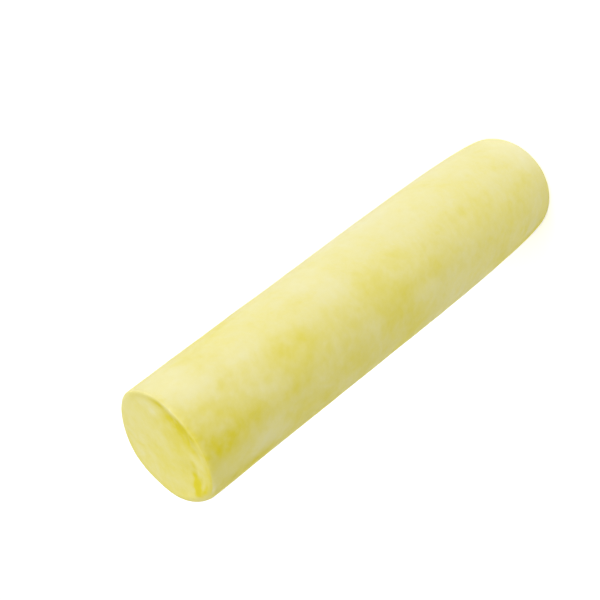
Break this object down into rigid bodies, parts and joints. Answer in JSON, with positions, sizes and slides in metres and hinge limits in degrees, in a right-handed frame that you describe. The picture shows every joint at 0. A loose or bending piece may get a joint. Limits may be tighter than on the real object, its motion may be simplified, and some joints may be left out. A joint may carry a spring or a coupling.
{
  "type": "chalk stick",
  "caption": "Thick tapered stick of cast chalk with a flat standing foot, a gently drawn-in wide end and a narrow end whose face is sunk inside a low raised lip.",
  "frame": {"origin": "centre of the flat foot at the wide end, on the surface the stick stands on", "axes": "+Z along the stick's axis from the wide foot to the lipped narrow end; X and Y are free, as the stick is round"},
  "size_m": [0.025, 0.025, 0.102],
  "materials": {
    "chalk": "matt, powdery cast plaster chalk"
  },
  "bodies": {
    "root": {"chalk_stick": "chalk"}
  },
  "joints": []
}
